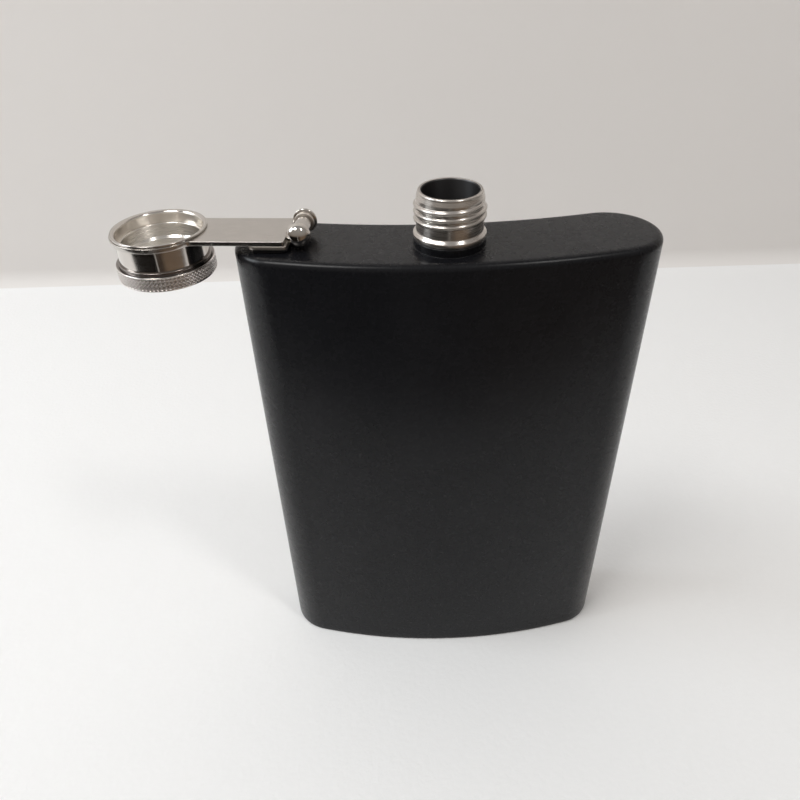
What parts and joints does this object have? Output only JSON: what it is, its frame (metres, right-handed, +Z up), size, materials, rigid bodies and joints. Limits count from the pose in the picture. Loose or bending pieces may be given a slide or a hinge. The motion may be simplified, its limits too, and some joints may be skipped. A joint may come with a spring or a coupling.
{
  "type": "hip flask",
  "caption": "Curved pocket flask of black coated steel with a threaded steel neck and a knurled screw cap held captive on a hinged arm, shown swung open.",
  "frame": {"origin": "centre of the flat base, on the surface that the flask stands on", "axes": "+Z up through the mouth, X across the width with the open cap on the -X side, -Y the convex front face"},
  "size_m": [0.1224, 0.028, 0.141],
  "materials": {
    "black_coat": "satin powder coat",
    "polished_steel": "polished stainless steel",
    "knurled_steel": "knurled stainless steel",
    "turned_steel": "turned stainless steel",
    "seal": "pale silicone"
  },
  "bodies": {
    "flask": {"base_plate": "black_coat", "front_shell": "black_coat", "back_shell": "black_coat", "shoulder_plate": "black_coat", "neck": "polished_steel", "hinge_bracket": "polished_steel", "hinge_pin": "polished_steel", "hinge_pin_cap": "polished_steel"},
    "arm": {"cap_arm": "polished_steel"},
    "seal": {"seal_disc": "seal"},
    "cap": {"cap_skirt": "polished_steel", "knurled_head": "knurled_steel", "thread_insert": "turned_steel"}
  },
  "joints": [
    {"name": "arm_swing", "type": "hinge", "parent": "flask", "child": "arm", "pos_m": [-0.032, 0.0028, 0.1323], "axis": [0.0872, 0.9962, 0], "range_deg": [0, 180]},
    {"name": "cap_travel", "type": "slide", "parent": "arm", "child": "seal", "axis": [0, 0, 1], "range_m": [0, 0.0015]},
    {"name": "cap_turn", "type": "hinge", "parent": "seal", "child": "cap", "pos_m": [-0.064, 0.0056, 0.126], "axis": [0, 0, 1], "range_deg": [0, 360]}
  ],
  "couplings": [
    {"joint": "cap_travel", "follows": "cap_turn", "m_per_rad": 0.00023873}
  ]
}
